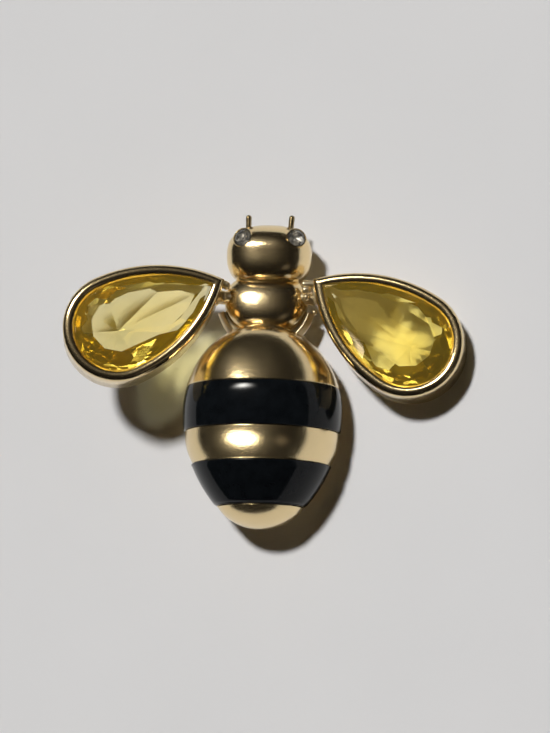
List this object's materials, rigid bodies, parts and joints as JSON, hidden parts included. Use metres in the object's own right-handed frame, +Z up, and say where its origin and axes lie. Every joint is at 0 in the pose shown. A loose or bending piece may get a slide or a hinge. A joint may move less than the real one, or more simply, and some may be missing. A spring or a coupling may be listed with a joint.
{
  "type": "insect brooch",
  "caption": "Polished gold bee brooch with black enamel bands, yellow faceted pear stones as wings, crystal eyes, and a pin with a round catch at the back.",
  "frame": {"origin": "on the surface the brooch lies on, under the middle of its box", "axes": "+Z up from that surface, +X across the wings towards the wing it rests on, +Y towards the head"},
  "size_m": [0.0392, 0.0315, 0.0154],
  "materials": {
    "gold": "polished gold plating",
    "enamel": "glossy black enamel",
    "citrine": "clear yellow, faceted and polished",
    "crystal": "clear, faceted and polished",
    "fitting": "polished gold plating"
  },
  "bodies": {
    "root": {"casting": "gold", "enamel_front": "enamel", "enamel_rear": "enamel", "wing_stone_left": "citrine", "wing_stone_right": "citrine", "eye_stone_left": "crystal", "eye_stone_right": "crystal", "pin_fitting": "fitting"}
  },
  "joints": []
}
